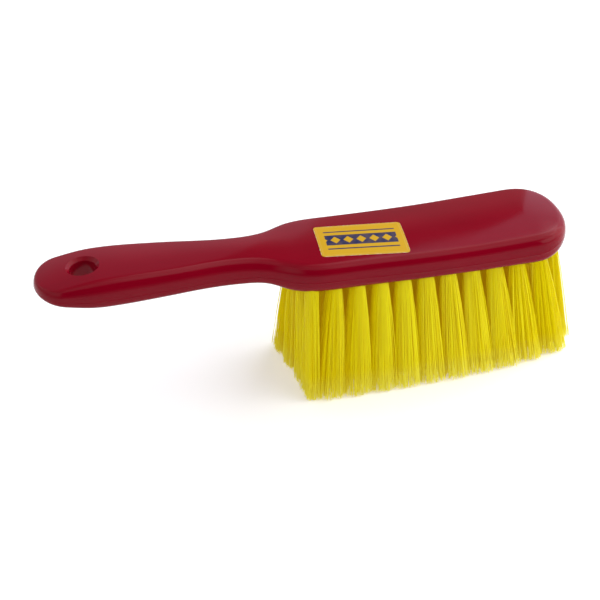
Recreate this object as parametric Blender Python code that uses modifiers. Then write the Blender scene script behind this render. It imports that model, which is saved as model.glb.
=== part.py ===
"""Banister brush: a moulded stock with a hang hole, bristle tufts in drilled holes, and a label.

The brush stands on its bristle tips. X runs from the handle to the nose, Z is up, and the origin is under
the middle of the whole brush, in the plane of the bristle tips. Sizes are in metres. The shape is worked
out from the handle's end, and one empty then carries everything to the origin.
"""

import bisect
import math

import bmesh
import bpy
from mathutils import Matrix, Vector

# Lengths of the stock
HANDLE_LENGTH = 0.130
HEAD_LENGTH = 0.150
STOCK_LENGTH = HANDLE_LENGTH + HEAD_LENGTH

# The stock's plan, seen from above
END_WIDTH = 0.0366
PALM_WIDTH = 0.0399
NECK_WIDTH = 0.0305
HEAD_WIDTH = 0.0541
END_ROUNDING = 0.0130
NOSE_ROUNDING = 0.0209
END_ROUNDNESS = 2.0
NOSE_ROUNDNESS = 2.35

# The stock's side view
TRIM_LENGTH = 0.0648
HEAD_THICKNESS = 0.0174
PALM_THICKNESS = 0.0168
NECK_THICKNESS = 0.0151
END_THICKNESS = 0.0082
PALM_LIFT = 0.0052
HEAD_DIP = 0.0012
NOSE_LIFT = 0.0006

# The stock's edges
CROWN = 0.0012
HEAD_TOP_RADIUS = 0.0062
HEAD_LOWER_RADIUS = 0.0040
NOSE_LOWER_RADIUS = 0.0088

# Hang hole
HANG_HOLE_DIAMETER = 0.0112
HANG_HOLE_INSET = 0.0241
HANG_HOLE_EDGE_RADIUS = 0.0030

# Tuft holes, in four rows, of which the outer two are shorter
OUTER_TUFTS = 11
INNER_TUFTS = 12
TUFT_HOLE_DIAMETER = 0.0065
TUFT_HOLE_DEPTH = 0.0110
HEEL_INSET = 0.0059
NOSE_INSET = 0.0078
OUTER_ROW_SETBACK = 0.0010
SIDE_INSET = 0.0068

# A tuft's root, the fold at its inner end, and the steel anchor driven across it
ROOT_CLEARANCE = 0.0003
ROOT_STANDOFF = 0.0016
FOLD_ROUNDING = 0.0012
ANCHOR_WIDTH = 0.0020
ANCHOR_THICKNESS = 0.0006
ANCHOR_BITE = 0.0006
ANCHOR_DEPTH = 0.0078

# Bristle tips, in the plane that the brush stands on
HEEL_OVERHANG = 0.0040
NOSE_SPLAY = 0.0075
OUTER_NOSE_SPLAY = 0.0005
TRIM_WIDTH = 0.0615
TIP_GAP = 0.0008
STRAND_ROOT_RADIUS = 0.0010
STRAND_TIP_RADIUS = 0.0017
STRAND_ROOTING = 0.0014

# Label
LABEL_LENGTH = 0.0462
LABEL_WIDTH = 0.0280
LABEL_CORNER_RADIUS = 0.0020
LABEL_THICKNESS = 0.0003
LABEL_CLEARANCE = 0.0003
LABEL_FROM_HEAD_START = 0.0381
LABEL_FROM_MIDDLE = 0.0051
LABEL_TURN = math.radians(-6.4)

# How far a cutter runs past what it cuts
OVERRUN = 0.0020

# Places along the handle or the head, and how far the shape has gone there from one size to the next
PALM_WIDTH_PLACE_SHARE = 0.43
PALM_LIFT_PLACE_SHARE = 0.26
NECK_PLACE_SHARE = 0.69
SHOULDER_SHARES = ((0.905, 0.16), (1.012, 0.76))
HEAD_WIDENING_SHARES = ((0.104, 0.87), (0.216, 0.90), (0.477, 0.98), (0.72, 1.0))
LIFT_SHARES = ((0.0, 0.32), (PALM_LIFT_PLACE_SHARE, 1.0), (0.54, 0.72), (0.82, 0.36), (0.99, 0.08))
NECK_THICKNESS_PLACE_SHARES = (0.54, 0.775, 0.926)
HEAD_TOP_PLACE_SHARES = (0.14, 0.53, 1.0)
UNDERSIDE_START_SHARE = 0.01
EDGE_BLEND_SHARES = (0.85, 1.08)

# Edge radii as shares of the thickness, and points across the crown and along the hang hole's edge
HANDLE_EDGE_SHARE = 0.45
CROWN_SHARES = (0.0, 0.4, 0.75)
HANG_HOLE_ARC_SHARE = 0.66
ROOT_FILL_SHARE = 0.92
CENTRE_STRAND_SHARE = 0.7

# Fineness of the faceted surfaces
END_STEPS = 9
HANDLE_STEPS = 14
SHOULDER_STEPS = 9
HEAD_STEPS = 7
TOP_EDGE_STEPS = 4
LOWER_EDGE_STEPS = 3
HANG_HOLE_STEPS = 28
HANG_HOLE_ARC_STEPS = 3
TUFT_SIDES = 10
RING_STRANDS = 7
STRAND_SIDES = 3
LABEL_COLUMNS = 7
LABEL_ROWS = 3
LABEL_CORNER_STEPS = 3

HEAD_TOP = TRIM_LENGTH + HEAD_THICKNESS


def mix(start, end, share):
    """The value this share of the way from start to end."""
    return start + (end - start) * share


def eased(share):
    """A share from 0 to 1 with a soft start and a soft stop."""
    share = min(max(share, 0), 1)
    return share * share * (3 - 2 * share)


def slope_at(stations, i):
    """Slope at station i of the curve that curve_through draws."""
    slopes = [
        (after[1] - before[1]) / (after[0] - before[0])
        for before, after in zip(stations, stations[1:])
    ]
    if i == 0 or i == len(stations) - 1:
        return slopes[min(i, len(slopes) - 1)]
    before, after = slopes[i - 1], slopes[i]
    return 2 * before * after / (before + after) if before * after > 0 else 0


def curve_through(stations, place):
    """Height at a place of a smooth curve through (place, height) stations, which never overshoots them."""
    last = len(stations) - 2
    i = min(max(bisect.bisect_right([at for at, _ in stations], place) - 1, 0), last)
    (start, low), (end, high) = stations[i], stations[i + 1]
    span = end - start
    t = min(max((place - start) / span, 0), 1)
    leaving, arriving = slope_at(stations, i) * span, slope_at(stations, i + 1) * span
    rise = t * t * (3 - 2 * t)
    return mix(low, high, rise) + t * (1 - t) * ((1 - t) * leaving - t * arriving)


def half_width(x):
    """Half of the stock's width at x, between its rounded ends."""
    neck, head = NECK_WIDTH / 2, HEAD_WIDTH / 2
    stations = [
        (END_ROUNDING, END_WIDTH / 2),
        (PALM_WIDTH_PLACE_SHARE * HANDLE_LENGTH, PALM_WIDTH / 2),
        (NECK_PLACE_SHARE * HANDLE_LENGTH, neck),
    ]
    stations += [(at * HANDLE_LENGTH, mix(neck, head, share)) for at, share in SHOULDER_SHARES]
    stations += [
        (HANDLE_LENGTH + at * HEAD_LENGTH, mix(neck, head, share)) for at, share in HEAD_WIDENING_SHARES
    ]
    return curve_through([*stations, (STOCK_LENGTH, head)], x)


def crest(x):
    """Height of the stock's top along its middle."""
    stations = [(at * HANDLE_LENGTH, HEAD_TOP + share * PALM_LIFT) for at, share in LIFT_SHARES]
    heights = (HEAD_TOP, HEAD_TOP - HEAD_DIP, HEAD_TOP + NOSE_LIFT)
    stations += [
        (HANDLE_LENGTH + at * HEAD_LENGTH, height)
        for at, height in zip(HEAD_TOP_PLACE_SHARES, heights)
    ]
    return curve_through(stations, x)


def keel(x):
    """Height of the stock's underside, which is flat under the head."""
    places = [0, PALM_LIFT_PLACE_SHARE * HANDLE_LENGTH]
    places += [at * HANDLE_LENGTH for at in NECK_THICKNESS_PLACE_SHARES]
    thicknesses = [END_THICKNESS, PALM_THICKNESS] + [NECK_THICKNESS] * len(NECK_THICKNESS_PLACE_SHARES)
    stations = [(at, crest(at) - thickness) for at, thickness in zip(places, thicknesses)]
    flat_start = HANDLE_LENGTH + UNDERSIDE_START_SHARE * HEAD_LENGTH
    return curve_through([*stations, (flat_start, TRIM_LENGTH), (STOCK_LENGTH, TRIM_LENGTH)], x)


def edge_radii(x, forward):
    """Upper and lower edge radii of the section at x, which faces forward by a share from 0 to 1."""
    handle = HANDLE_EDGE_SHARE * (crest(x) - keel(x))
    start, end = (share * HANDLE_LENGTH for share in EDGE_BLEND_SHARES)
    head = eased((x - start) / (end - start))
    head_lower = mix(HEAD_LOWER_RADIUS, NOSE_LOWER_RADIUS, max(forward, 0))
    upper, lower = mix(handle, HEAD_TOP_RADIUS, head), mix(handle, head_lower, head)
    room = HANDLE_EDGE_SHARE * 2 * (crest(x) - keel(x) - CROWN) / (upper + lower)
    return upper * min(room, 1), lower * min(room, 1)


def rounded_end(spine, length, width, roundness):
    """(spine place, outline point) pairs round one end, from the tip to the side. length is signed."""
    power = 2 / roundness
    for i in range(END_STEPS + 1):
        angle = math.pi / 2 * i / END_STEPS
        point = Vector((spine + length * max(math.cos(angle), 0) ** power, width * math.sin(angle) ** power, 0))
        yield spine, point


def side_places():
    """Places of the sections between the rounded ends, closest together on the shoulder."""
    shoulder_start, shoulder_end = (share * HANDLE_LENGTH for share in EDGE_BLEND_SHARES)
    stops = (END_ROUNDING, shoulder_start, shoulder_end, STOCK_LENGTH - NOSE_ROUNDING)
    counts = (HANDLE_STEPS, SHOULDER_STEPS, HEAD_STEPS)
    for start, end, count in zip(stops, stops[1:], counts):
        for i in range(1, count + 1):
            yield mix(start, end, i / count)


def outline_stations():
    """(spine place, outline point) pairs along the stock's left side, from the handle's end to the nose."""
    nose = STOCK_LENGTH - NOSE_ROUNDING
    end = rounded_end(END_ROUNDING, -END_ROUNDING, half_width(END_ROUNDING), END_ROUNDNESS)
    front = rounded_end(nose, NOSE_ROUNDING, half_width(nose), NOSE_ROUNDNESS)
    sides = [(x, Vector((x, half_width(x), 0))) for x in side_places()]
    return [*end, *sides[:-1], *reversed(list(front))]


def section(spine, outline_point):
    """Points of one half section, from the crest down the side to the keel."""
    middle = Vector((spine, 0, 0))
    reach = (outline_point - middle).length
    outward = (outline_point - middle) / reach
    upper, lower = edge_radii(outline_point.x, outward.x)

    def at(distance, drop=0, rise=None):
        """A point this far out, drop under the top or rise over the underside."""
        point = middle + outward * distance
        crown = CROWN * (min(distance, reach - upper) / reach) ** 2
        height = crest(point.x) - crown - drop if rise is None else keel(point.x) + rise
        return point + Vector((0, 0, height))

    points = [at((reach - upper) * share) for share in CROWN_SHARES]
    for i in range(TOP_EDGE_STEPS + 1):
        angle = math.pi / 2 * i / TOP_EDGE_STEPS
        points.append(at(reach - upper * (1 - math.sin(angle)), drop=upper * (1 - math.cos(angle))))
    for i in range(LOWER_EDGE_STEPS + 1):
        angle = math.pi / 2 * i / LOWER_EDGE_STEPS
        points.append(at(reach - lower * (1 - math.cos(angle)), rise=lower * (1 - math.sin(angle))))
    return [*points, at(0, rise=0)]


def new_object(name, bm, collection, parent, matrix=None):
    """An object from a bmesh, placed by its matrix under its parent."""
    mesh = bpy.data.meshes.new(name)
    bm.to_mesh(mesh)
    bm.free()
    obj = bpy.data.objects.new(name, mesh)
    collection.objects.link(obj)
    obj.parent = parent
    obj.matrix_basis = matrix or Matrix.Identity(4)
    return obj


def new_cutter(name, bm, collection, parent, matrix=None):
    """An object that only shapes others, so that no render shows it."""
    obj = new_object(name, bm, collection, parent, matrix)
    obj.hide_render = True
    obj.display_type = "WIRE"
    return obj


def loft(bm, rows):
    """Quads between rows of points. Points that coincide are made one."""
    grid = [[bm.verts.new(point) for point in row] for row in rows]
    for near, far in zip(grid, grid[1:]):
        for i in range(len(near) - 1):
            bm.faces.new((near[i], near[i + 1], far[i + 1], far[i]))
    smallest = STRAND_ROOT_RADIUS * 1e-3
    bmesh.ops.remove_doubles(bm, verts=bm.verts, dist=smallest)
    bmesh.ops.dissolve_degenerate(bm, edges=bm.edges, dist=smallest)


def add_prism(bm, lower, upper):
    """A closed solid between two outlines of as many points, both seen anticlockwise from above."""
    bottom = [bm.verts.new(point) for point in lower]
    top = [bm.verts.new(point) for point in upper]
    bm.faces.new(list(reversed(bottom)))
    bm.faces.new(top)
    for i in range(len(bottom)):
        after = (i + 1) % len(bottom)
        bm.faces.new((bottom[i], bottom[after], top[after], top[i]))


def polygon(sides, radius, start=0.0):
    """Corners of a regular polygon round the origin, anticlockwise."""
    angles = [start + 2 * math.pi * i / sides for i in range(sides)]
    return [Vector((radius * math.cos(a), radius * math.sin(a), 0)) for a in angles]


def tuft_circle(radius):
    """The round outline of a tuft or its hole, with a flat towards each end of the brush."""
    return polygon(TUFT_SIDES, radius, math.pi / TUFT_SIDES)


def lifted(points, height):
    """The points, raised by a height."""
    return [point + Vector((0, 0, height)) for point in points]


def tuft_layout():
    """(name, mouth of the hole, middle of the tips, half size of the tips) of each tuft."""
    spacing = (HEAD_WIDTH - 2 * SIDE_INSET) / 3
    tip_spacing = TRIM_WIDTH / 4
    first_inner = HANDLE_LENGTH + HEEL_INSET
    pitch = (STOCK_LENGTH - NOSE_INSET - first_inner) / (INNER_TUFTS - 1)
    tips_start = HANDLE_LENGTH - HEEL_OVERHANG
    rows = (
        ("outer_right", -1.5, OUTER_TUFTS, OUTER_ROW_SETBACK, OUTER_NOSE_SPLAY),
        ("inner_right", -0.5, INNER_TUFTS, 0, NOSE_SPLAY),
        ("inner_left", 0.5, INNER_TUFTS, 0, NOSE_SPLAY),
        ("outer_left", 1.5, OUTER_TUFTS, OUTER_ROW_SETBACK, OUTER_NOSE_SPLAY),
    )
    for row, across, count, setback, splay in rows:
        tip_pitch = (STOCK_LENGTH + splay - tips_start) / count
        half_size = Vector((tip_pitch - TIP_GAP, tip_spacing - TIP_GAP, 0)) / 2
        for i in range(count):
            mouth = Vector((first_inner + setback + i * pitch, across * spacing, TRIM_LENGTH))
            tips = Vector((tips_start + (i + 0.5) * tip_pitch, across * tip_spacing, 0))
            yield f"tuft_{row}_{i + 1:02}", mouth, tips, half_size


def tuft_matrix(mouth, tips):
    """The frame of a tuft: its origin in the hole's mouth, and its Z axis up the hole."""
    z_axis = (mouth - tips).normalized()
    y_axis = z_axis.cross(Vector((1, 0, 0))).normalized()
    x_axis = y_axis.cross(z_axis)
    axes = Matrix((x_axis, y_axis, z_axis)).transposed()
    return Matrix.Translation(mouth) @ axes.to_4x4()


def strand_places():
    """(direction, share of the ring's radius, share of the strand's radius) of the strands of a tuft."""
    yield 0.0, 0.0, CENTRE_STRAND_SHARE
    for i in range(RING_STRANDS):
        yield 2 * math.pi * i / RING_STRANDS, 1.0, 1.0


def strand_triangle(direction, radius):
    """A strand's section: a wedge whose point looks at the middle of the tuft."""
    return polygon(STRAND_SIDES, radius, direction + math.pi / STRAND_SIDES)


def strand_tips(tips, half_size, direction, ring_share, radius_share):
    """Corners of one strand's cut tip, in the plane that the brush stands on."""
    ring = half_size - Vector((1, 1, 0)) * STRAND_TIP_RADIUS * math.cos(math.pi / STRAND_SIDES)
    middle = Vector((ring.x * math.cos(direction), ring.y * math.sin(direction), 0)) * ring_share
    return [tips + middle + corner for corner in strand_triangle(direction, STRAND_TIP_RADIUS * radius_share)]


def strand_root(direction, ring_share, radius_share):
    """Corners of one strand's hidden end, inside the tight root of its tuft."""
    root_radius = TUFT_HOLE_DIAMETER / 2 - ROOT_CLEARANCE
    ring = ROOT_FILL_SHARE * root_radius - STRAND_ROOT_RADIUS
    middle = Vector((math.cos(direction), math.sin(direction), 0)) * ring * ring_share
    corners = [middle + corner for corner in strand_triangle(direction, STRAND_ROOT_RADIUS * radius_share)]
    return lifted(corners, STRAND_ROOTING - ROOT_STANDOFF)


def nose_reach():
    """How far the brush reaches from the handle's end: the foremost bristle tip, or the stock's nose."""
    foremost = max(
        corner.x
        for _, _, tips, half_size in tuft_layout()
        for strand in strand_places()
        for corner in strand_tips(tips, half_size, *strand)
    )
    return max(foremost, STOCK_LENGTH)


def add_anchor(bm):
    """The flat steel wire across the fold, whose ends bite into the hole's wall."""
    root_radius = TUFT_HOLE_DIAMETER / 2
    size = Vector((2 * (root_radius + ANCHOR_BITE), ANCHOR_THICKNESS, ANCHOR_WIDTH))
    place = Matrix.Translation(Vector((0, 0, ANCHOR_DEPTH))) @ Matrix.Diagonal(size).to_4x4()
    bmesh.ops.create_cube(bm, size=1, matrix=place)


def make_root(name, matrix, collection, parent):
    """The tight root of a tuft, from just outside the hole to the rounded fold at its inner end."""
    bm = bmesh.new()
    circle = tuft_circle(TUFT_HOLE_DIAMETER / 2 - ROOT_CLEARANCE)
    fold_end = TUFT_HOLE_DEPTH - ROOT_CLEARANCE
    add_prism(bm, lifted(circle, -ROOT_STANDOFF), lifted(circle, fold_end))
    top = max(bm.faces, key=lambda face: face.calc_center_median().z)
    bmesh.ops.bevel(bm, geom=list(top.edges), offset=FOLD_ROUNDING, segments=1, affect="EDGES")
    return new_object(name, bm, collection, parent, matrix)


def make_tuft(name, mouth, tips, half_size, brush, cutters, parent, bristle, steel):
    """One tuft: the root, the anchor and the strands, fused. The strands are trimmed flat at their tips."""
    matrix = tuft_matrix(mouth, tips)
    tuft = make_root(name, matrix, brush, parent)
    bm = bmesh.new()
    add_anchor(bm)
    for face in bm.faces:
        face.material_index = 1
    to_local = matrix.inverted()
    for strand in strand_places():
        tip = [to_local @ corner for corner in strand_tips(tips, half_size, *strand)]
        add_prism(bm, tip, strand_root(*strand))
    strands = new_cutter(f"{name}_strands", bm, cutters, parent, matrix)
    for obj in (tuft, strands):
        obj.data.materials.append(bristle)
        obj.data.materials.append(steel)
    fuse = tuft.modifiers.new("Strands and anchor", "BOOLEAN")
    fuse.operation = "UNION"
    fuse.solver = "EXACT"
    fuse.object = strands
    return tuft


def slotted_circle():
    """The tuft hole's outline: round, with a slot at each end where the anchor has cut in."""
    radius = TUFT_HOLE_DIAMETER / 2
    reach = radius + ANCHOR_BITE + ROOT_CLEARANCE
    side = ANCHOR_THICKNESS / 2 + ROOT_CLEARANCE
    circle = tuft_circle(radius)
    face = circle[0].x
    slot = [Vector((face, -side, 0)), Vector((reach, -side, 0)), Vector((reach, side, 0)), Vector((face, side, 0))]
    half = TUFT_SIDES // 2
    opposite = [-corner for corner in slot]
    return [*slot, *circle[:half], *opposite, *circle[half:]]


def make_tuft_hole_cutter(layout, cutters, parent):
    """One cutter with a slotted pin for each tuft hole."""
    bm = bmesh.new()
    outline = slotted_circle()
    for _, mouth, tips, _ in layout:
        matrix = tuft_matrix(mouth, tips)
        ends = [[matrix @ point for point in lifted(outline, z)] for z in (-OVERRUN, TUFT_HOLE_DEPTH)]
        add_prism(bm, *ends)
    return new_cutter("tuft_hole_cutter", bm, cutters, parent)


def hang_hole_edge(radius):
    """(radius, depth under the face) along the hole's rounded edge, from over the face to the bore."""
    edge = HANG_HOLE_EDGE_RADIUS
    end = math.pi / 2 * HANG_HOLE_ARC_SHARE
    arc = [end * (1 - i / HANG_HOLE_ARC_STEPS) for i in range(HANG_HOLE_ARC_STEPS + 1)]
    points = [(radius + edge * (1 - math.cos(a)), edge * (1 - math.sin(a))) for a in arc]
    out, depth = points[0]
    rise = OVERRUN + depth
    return [(out + rise * math.tan(end), -OVERRUN), *points]


def make_hang_hole_cutter(cutters, parent):
    """A turned cutter: the bore, flared to a rounded edge at both faces."""
    radius = HANG_HOLE_DIAMETER / 2
    top, bottom = crest(HANG_HOLE_INSET), keel(HANG_HOLE_INSET)
    edge = hang_hole_edge(radius)
    profile = [(out, top - depth) for out, depth in edge]
    profile += [(out, bottom + depth) for out, depth in reversed(edge)]
    profile = [(0, profile[0][1]), *profile, (0, profile[-1][1])]
    bm = bmesh.new()
    corners = [bm.verts.new((out, 0, height)) for out, height in profile]
    for start, end in zip(corners, corners[1:]):
        bm.edges.new((start, end))
    cutter = new_cutter(
        "hang_hole_cutter", bm, cutters, parent, Matrix.Translation(Vector((HANG_HOLE_INSET, 0, 0)))
    )
    screw = cutter.modifiers.new("Turn", "SCREW")
    screw.steps = screw.render_steps = HANG_HOLE_STEPS
    screw.use_merge_vertices = True
    screw.merge_threshold = STRAND_ROOT_RADIUS * 1e-3
    return cutter


def make_stock(layout, brush, cutters, parent, material):
    """The moulded stock: half of it lofted round its outline, mirrored, then drilled."""
    bm = bmesh.new()
    loft(bm, [section(spine, point) for spine, point in outline_stations()])
    bmesh.ops.recalc_face_normals(bm, faces=bm.faces)
    stock = new_object("stock", bm, brush, parent)
    stock.data.materials.append(material)
    mirror = stock.modifiers.new("Right half", "MIRROR")
    mirror.use_axis = (False, True, False)
    mirror.merge_threshold = STRAND_ROOT_RADIUS * 1e-3
    for name, cutter in (
        ("Hang hole", make_hang_hole_cutter(cutters, parent)),
        ("Tuft holes", make_tuft_hole_cutter(layout, cutters, parent)),
    ):
        cut = stock.modifiers.new(name, "BOOLEAN")
        cut.operation = "DIFFERENCE"
        cut.solver = "EXACT"
        cut.object = cutter
    return stock


def label_rows():
    """(place across, half length) of the rows of a rounded rectangle, from edge to edge."""
    radius, half = LABEL_CORNER_RADIUS, LABEL_WIDTH / 2
    straight = LABEL_LENGTH / 2 - radius
    corner = [math.pi / 2 * i / LABEL_CORNER_STEPS for i in range(LABEL_CORNER_STEPS + 1)]
    edge = [(half - radius * (1 - math.cos(a)), straight + radius * math.sin(a)) for a in corner]
    inner = (half - radius) * (1 - 2 / LABEL_ROWS)
    middle = [(inner, LABEL_LENGTH / 2)]
    upper = edge + middle
    return upper + [(-across, along) for across, along in reversed(upper)]


def make_label(brush, parent, material):
    """The label: a thin sheet that follows the crown of the head's top, set slightly askew."""
    centre = Vector((HANDLE_LENGTH + LABEL_FROM_HEAD_START, -LABEL_FROM_MIDDLE, 0))
    turn = Matrix.Rotation(LABEL_TURN, 4, "Z")
    rows = []
    for across, half_length in label_rows():
        row = []
        for i in range(LABEL_COLUMNS + 1):
            along = half_length * (2 * i / LABEL_COLUMNS - 1)
            point = centre + turn @ Vector((along, across, 0))
            crown = CROWN * (point.y / half_width(point.x)) ** 2
            row.append(point + Vector((0, 0, crest(point.x) - crown + LABEL_CLEARANCE)))
        rows.append(row)
    bm = bmesh.new()
    loft(bm, rows)
    bmesh.ops.recalc_face_normals(bm, faces=bm.faces)
    if sum(face.normal.z for face in bm.faces) < 0:
        bmesh.ops.reverse_faces(bm, faces=bm.faces)
    label = new_object("label", bm, brush, parent)
    label.data.materials.append(material)
    thickness = label.modifiers.new("Thickness", "SOLIDIFY")
    thickness.thickness = LABEL_THICKNESS
    thickness.offset = 1
    return label


def new_material(name, colour, roughness, metallic=0.0, coat=0.0):
    """A Principled material. The colour is linear RGB."""
    material = bpy.data.materials.new(name)
    material.use_nodes = True
    shader = material.node_tree.nodes["Principled BSDF"]
    shader.inputs["Base Color"].default_value = (*colour, 1)
    shader.inputs["Roughness"].default_value = roughness
    shader.inputs["Metallic"].default_value = metallic
    shader.inputs["Coat Weight"].default_value = coat
    return material


def new_collection(name):
    """A collection in the scene."""
    collection = bpy.data.collections.new(name)
    bpy.context.scene.collection.children.link(collection)
    return collection


def main():
    for obj in list(bpy.data.objects):
        bpy.data.objects.remove(obj)
    brush, cutters = new_collection("banister_brush"), new_collection("cutters")
    cutters.hide_render = True
    placing = bpy.data.objects.new("brush_placing", None)
    placing.location = (-nose_reach() / 2, 0, 0)
    brush.objects.link(placing)

    red = new_material("red_gloss_plastic", (0.28, 0.006, 0.02), roughness=0.22, coat=0.3)
    yellow = new_material("yellow_bristle", (0.75, 0.6, 0.01), roughness=0.45)
    steel = new_material("anchor_steel", (0.6, 0.6, 0.6), roughness=0.35, metallic=1.0)
    gold = new_material("label_face", (0.8, 0.45, 0.01), roughness=0.4)

    layout = list(tuft_layout())
    smooth = [make_stock(layout, brush, cutters, placing, red), make_label(brush, placing, gold)]
    for tuft in layout:
        make_tuft(*tuft, brush, cutters, placing, yellow, steel)
    for obj in smooth:
        obj.data.shade_smooth()
    print(f"{len(layout)} tufts, {len(layout) * (RING_STRANDS + 1)} strands")


main()
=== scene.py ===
# %% [markdown]
# # A banister brush
#
# This notebook dresses a banister brush: a glossy red moulded stock, a printed sticker, and 46
# tufts of yellow filament. The construction model comes in first, and nothing in it is moved or
# resized. Each visible piece is then built over it with a finer surface, and stands for the solid
# that it covers.

# %% Open the construction model
import math

import bmesh
import bpy
import numpy as np
from mathutils import Matrix, Vector


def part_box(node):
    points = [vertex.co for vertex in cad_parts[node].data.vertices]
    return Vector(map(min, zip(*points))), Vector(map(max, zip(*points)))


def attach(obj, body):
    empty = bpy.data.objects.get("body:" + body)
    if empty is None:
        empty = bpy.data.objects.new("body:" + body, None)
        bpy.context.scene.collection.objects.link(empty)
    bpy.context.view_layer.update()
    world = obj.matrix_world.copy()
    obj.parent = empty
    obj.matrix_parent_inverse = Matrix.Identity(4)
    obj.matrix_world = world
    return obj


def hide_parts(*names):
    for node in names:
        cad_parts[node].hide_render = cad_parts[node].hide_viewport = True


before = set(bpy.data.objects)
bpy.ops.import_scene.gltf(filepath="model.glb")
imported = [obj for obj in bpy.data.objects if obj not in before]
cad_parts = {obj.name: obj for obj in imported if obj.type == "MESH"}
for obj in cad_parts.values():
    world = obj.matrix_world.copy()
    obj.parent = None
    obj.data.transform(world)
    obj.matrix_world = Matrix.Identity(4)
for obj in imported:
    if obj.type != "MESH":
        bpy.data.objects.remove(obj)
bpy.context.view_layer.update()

stock_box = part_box("stock")
tuft_names = sorted(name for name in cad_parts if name.startswith("tuft_"))
print(f"{len(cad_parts)} solids, of which {len(tuft_names)} are tufts")

# %% [markdown]
# ## Helpers
#
# Shader trees and Geometry Nodes trees are wired in the same way: add a node, set its options, and
# give each input a value or the output of another node. The first functions do all of that. The
# others make meshes and objects, place them and finish them.

# %% Wire nodes into a tree
def feed(node, inputs):
    """Gives inputs, by their names or numbers, a value or the output of another node."""
    for key, value in inputs.items():
        if isinstance(value, bpy.types.NodeSocket):
            node.id_data.links.new(value, node.inputs[key])
        else:
            node.inputs[key].default_value = value


def wire(tree, kind, inputs=None, **options):
    """Adds a node, with its options set and its inputs fed."""
    node = tree.nodes.new(kind)
    for name, value in options.items():
        setattr(node, name, value)
    feed(node, inputs or {})
    return node


def result(kind, inputs, output=0, **options):
    """An output of a new node, in the tree that its inputs come from."""
    sockets = [value for value in inputs.values() if isinstance(value, bpy.types.NodeSocket)]
    return wire(sockets[0].id_data, kind, inputs, **options).outputs[output]


def maths(operation, *values):
    """The result of a Math node."""
    return result("ShaderNodeMath", dict(enumerate(values)), operation=operation)


def vector_maths(operation, *values):
    """The result of a Vector Math node. The last value may be the factor of a scaling."""
    inputs = dict(zip((0, "Scale") if operation == "SCALE" else range(3), values))
    return result("ShaderNodeVectorMath", inputs, operation=operation)


# %% Make and finish objects
SHARP_ANGLE = math.radians(40)


def finished_mesh(bm, name):
    """The mesh that was being edited, under a name."""
    mesh = bpy.data.meshes.new(name)
    bm.to_mesh(mesh)
    bm.free()
    return mesh


def new_object(name, data):
    """An object in the scene, at the origin, which shows a mesh, a light or a camera."""
    obj = bpy.data.objects.new(name, data)
    bpy.context.scene.collection.objects.link(obj)
    return obj


def settled(obj):
    """The object with its modifiers applied."""
    shape = obj.evaluated_get(bpy.context.evaluated_depsgraph_get())
    mesh = bpy.data.meshes.new_from_object(shape)
    obj.modifiers.clear()
    obj.data = mesh
    mesh.name = obj.name
    return obj


def aimed(axis, direction, middle):
    """The placement of an object whose axis points in a direction."""
    return Matrix.Translation(middle) @ direction.to_track_quat(axis, "Y").to_matrix().to_4x4()


def shade_round(obj):
    """Smooth shading everywhere but over sharp edges."""
    obj.data.shade_smooth()
    obj.data.set_sharp_from_angle(angle=SHARP_ANGLE)


def paint(obj, material):
    """Gives the object one material."""
    obj.data.materials.clear()
    obj.data.materials.append(material)


# %% [markdown]
# ## The camera
#
# The photograph was taken from in front of the brush and a little to its left, looking down at
# about 34 degrees through a long lens. Its place was solved from the outline of the stock. A camera
# looks along its own -Z, so it is first tipped up to look along +Y, then down by the pitch, round
# by the yaw, and last rolled about the line of sight.

# %% Place the camera
CAMERA_PLACE = Vector((-0.2124, -0.7047, 0.5450))
CAMERA_YAW = math.radians(16.28)
CAMERA_PITCH = math.radians(34.22)
CAMERA_ROLL = math.radians(0.56)
FOCAL_LENGTH_MM = 101.3

camera = new_object("camera", bpy.data.cameras.new("camera"))
camera.data.lens = FOCAL_LENGTH_MM
turn = Matrix.Rotation(-CAMERA_YAW, 4, "Z") @ Matrix.Rotation(math.pi / 2 - CAMERA_PITCH, 4, "X")
camera.matrix_world = Matrix.Translation(CAMERA_PLACE) @ turn @ Matrix.Rotation(CAMERA_ROLL, 4, "Z")
bpy.context.scene.camera = camera
print(f"camera {CAMERA_PLACE.length * 1000:.0f} mm from the foot of the brush")

# %% [markdown]
# ## The stock's plan and side view
#
# The stock is one injection moulding. A mould maker draws it as two curves: a plan, seen from
# above, and a side view, with the crest along the top and the keel along the underside. Both are
# given here by a few stations in real sizes, and a smooth curve runs through each. The curve is
# then averaged over a few millimetres, because a glossy surface shows every place where the
# curvature jumps.

# %% Draw smooth curves through stations
SAMPLE_STEP = 0.0005
BELL_CUT = 4


def curve_through(stations, places):
    """Heights of a curve that goes through (place, height) stations and never overshoots them."""
    at, height = np.array(stations, float).T
    steps = np.diff(at)
    slopes = np.diff(height) / steps
    before, after = slopes[:-1], slopes[1:]
    total = np.where(before + after, before + after, 1)
    inner = np.where(before * after > 0, 2 * before * after / total, 0)
    tangents = np.concatenate(([slopes[0]], inner, [slopes[-1]]))
    i = np.clip(np.searchsorted(at, places, side="right") - 1, 0, len(steps) - 1)
    t = np.clip((places - at[i]) / steps[i], 0, 1)
    rise = t * t * (3 - 2 * t)
    bend = (1 - t) * tangents[i] - t * tangents[i + 1]
    return height[i] + (height[i + 1] - height[i]) * rise + t * (1 - t) * steps[i] * bend


def averaged(values, reach, step):
    """The values, each averaged with its neighbours over a bell curve of this reach."""
    count = int(BELL_CUT * reach / step)
    offsets = np.arange(-count, count + 1) * step
    bell = np.exp(-0.5 * (offsets / reach) ** 2)
    start = 2 * values[0] - values[count:0:-1]
    end = 2 * values[-1] - values[-2 : -count - 2 : -1]
    return np.convolve(np.concatenate((start, values, end)), bell / bell.sum(), mode="valid")


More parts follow.
